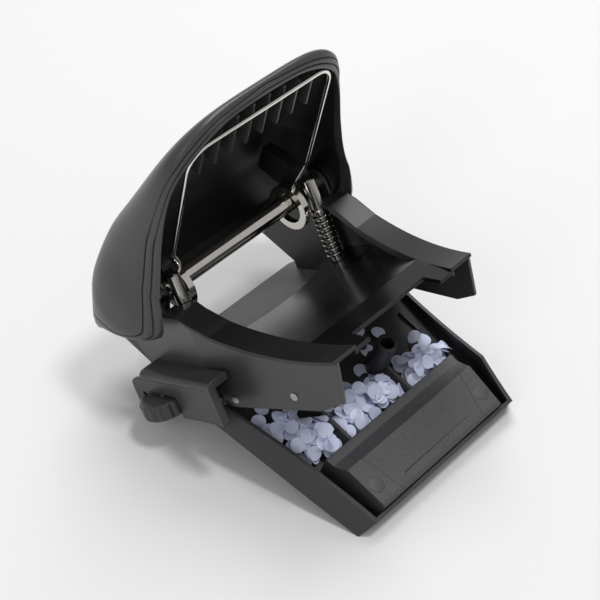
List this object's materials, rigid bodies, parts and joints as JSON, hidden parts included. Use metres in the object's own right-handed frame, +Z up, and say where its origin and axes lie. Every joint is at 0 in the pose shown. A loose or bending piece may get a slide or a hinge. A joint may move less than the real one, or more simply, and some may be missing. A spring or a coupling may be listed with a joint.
{
  "type": "hole punch",
  "caption": "Heavy-duty two-hole lever punch with raised lever, sprung punch pins, wire bow, guide plate, side wings, thumb wheel and an opened chip tray",
  "frame": {"origin": "on the table, at the middle of the open punch's footprint", "axes": "+X to the punch's right seen from its front, along the rod and the hinges; +Y from the tray's lip to the rear; +Z up"},
  "size_m": [0.1342, 0.1458, 0.146],
  "materials": {
    "shell_plastic": "satin",
    "tray_plastic": "fine texture",
    "black_enamel": "satin",
    "grey_enamel": "satin",
    "wing_plastic": "satin",
    "polished_steel": "polished",
    "tool_steel": "ground",
    "spring_steel": "drawn",
    "foot_rubber": "matte",
    "chip_paper": "uncoated"
  },
  "bodies": {
    "punch_frame": {"base_pan": "black_enamel", "bracket_left": "black_enamel", "bracket_right": "black_enamel", "cheek_left": "black_enamel", "cheek_right": "black_enamel", "cross_rod": "polished_steel", "guide_plate": "grey_enamel", "hinge_pin_left": "polished_steel", "hinge_pin_right": "polished_steel", "paper_table": "grey_enamel", "pin_sleeve_left": "tool_steel", "pin_sleeve_right": "tool_steel", "rivet_front_left": "polished_steel", "rivet_front_right": "polished_steel", "rivet_rear_left": "polished_steel", "rivet_rear_right": "polished_steel", "rod_cap_left": "polished_steel", "rod_cap_right": "polished_steel", "rubber_foot": "foot_rubber", "side_plate_left": "wing_plastic", "side_plate_right": "wing_plastic", "spring_left": "spring_steel", "spring_right": "spring_steel", "thumb_axle": "polished_steel", "top_strip_left": "black_enamel", "top_strip_right": "black_enamel", "wing_left": "wing_plastic", "wing_right": "wing_plastic"},
    "lever": {"lever_shell": "shell_plastic", "wire_bail": "polished_steel", "press_arm_left": "shell_plastic", "press_arm_right": "shell_plastic", "pivot_boss_left": "shell_plastic", "pivot_boss_right": "shell_plastic"},
    "chip_tray": {"chip_tray": "tray_plastic", "floor_rib": "tray_plastic", "paper_chips_left": "chip_paper", "paper_chips_middle": "chip_paper", "paper_chips_right": "chip_paper", "tray_divider_left": "tray_plastic", "tray_divider_right": "tray_plastic", "tray_panel": "tray_plastic", "tray_post": "tray_plastic"},
    "punch_left": {"punch_pin_left": "tool_steel"},
    "punch_right": {"punch_pin_right": "tool_steel"},
    "paper_guide": {"paper_rail": "wing_plastic"},
    "guide_wheel": {"thumb_wheel": "wing_plastic"}
  },
  "joints": [
    {"name": "lever_press", "type": "hinge", "parent": "punch_frame", "child": "lever", "pos_m": [0.00239, 0.04316, 0.05618], "axis": [1, 0, 0], "range_deg": [0, 59], "stiffness_Nm_per_rad": 0.6, "springref_deg": -5.73},
    {"name": "punch_left_slide", "type": "slide", "parent": "punch_frame", "child": "punch_left", "axis": [0, -0.4646, -0.8855], "range_m": [0, 0.0096], "deforming": ["spring_left"]},
    {"name": "punch_right_slide", "type": "slide", "parent": "punch_frame", "child": "punch_right", "axis": [0, -0.4646, -0.8855], "range_m": [0, 0.0096], "deforming": ["spring_right"]},
    {"name": "tray_hinge", "type": "hinge", "parent": "punch_frame", "child": "chip_tray", "pos_m": [0.00239, 0.00409, 0.02755], "axis": [1, 0, 0], "range_deg": [-44.6, 0]},
    {"name": "guide_wheel_turn", "type": "hinge", "parent": "punch_frame", "child": "guide_wheel", "pos_m": [-0.05661, 0.02634, 0.01723], "axis": [0, -0.4646, -0.8855], "range_deg": [0, 300]},
    {"name": "paper_guide_slide", "type": "slide", "parent": "punch_frame", "child": "paper_guide", "axis": [1, 0, 0], "range_m": [0, 0.0228]}
  ],
  "couplings": [
    {"joint": "punch_left_slide", "follows": "lever_press", "m_per_rad": 0.00932},
    {"joint": "punch_right_slide", "follows": "lever_press", "m_per_rad": 0.00932},
    {"joint": "paper_guide_slide", "follows": "guide_wheel_turn", "m_per_rad": 0.00435}
  ]
}
